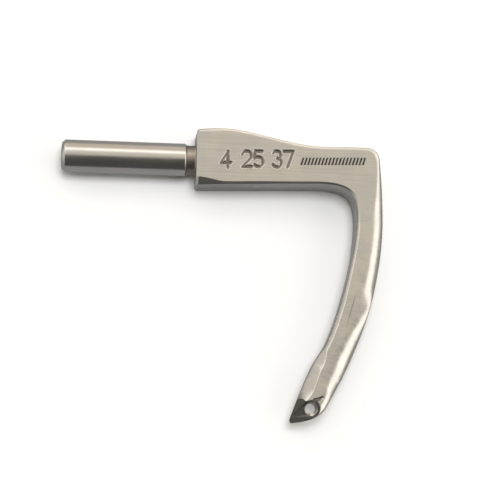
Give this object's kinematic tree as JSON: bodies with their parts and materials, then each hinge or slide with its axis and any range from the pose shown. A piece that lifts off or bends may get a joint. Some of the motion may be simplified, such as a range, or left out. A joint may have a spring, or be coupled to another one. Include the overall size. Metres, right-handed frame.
{
  "type": "sewing machine looper",
  "caption": "Steel looper for a chainstitch sewing machine, with a ground round shank, a flat block, a curved arm and an eyed point.",
  "frame": {"origin": "on the shank's axis, in the plane where the ground diameter ends and the relief neck begins", "axes": "+X along the shank towards the block, -Y along the arm towards the point, +Z out of the stamped broad face"},
  "size_m": [0.0398, 0.0359, 0.0046],
  "materials": {
    "ground_steel": "ground bright, fine lengthwise lines",
    "brushed_steel": "satin, with polished edges and arm"
  },
  "bodies": {
    "root": {"shank": "ground_steel", "looper_body": "brushed_steel"}
  },
  "joints": []
}
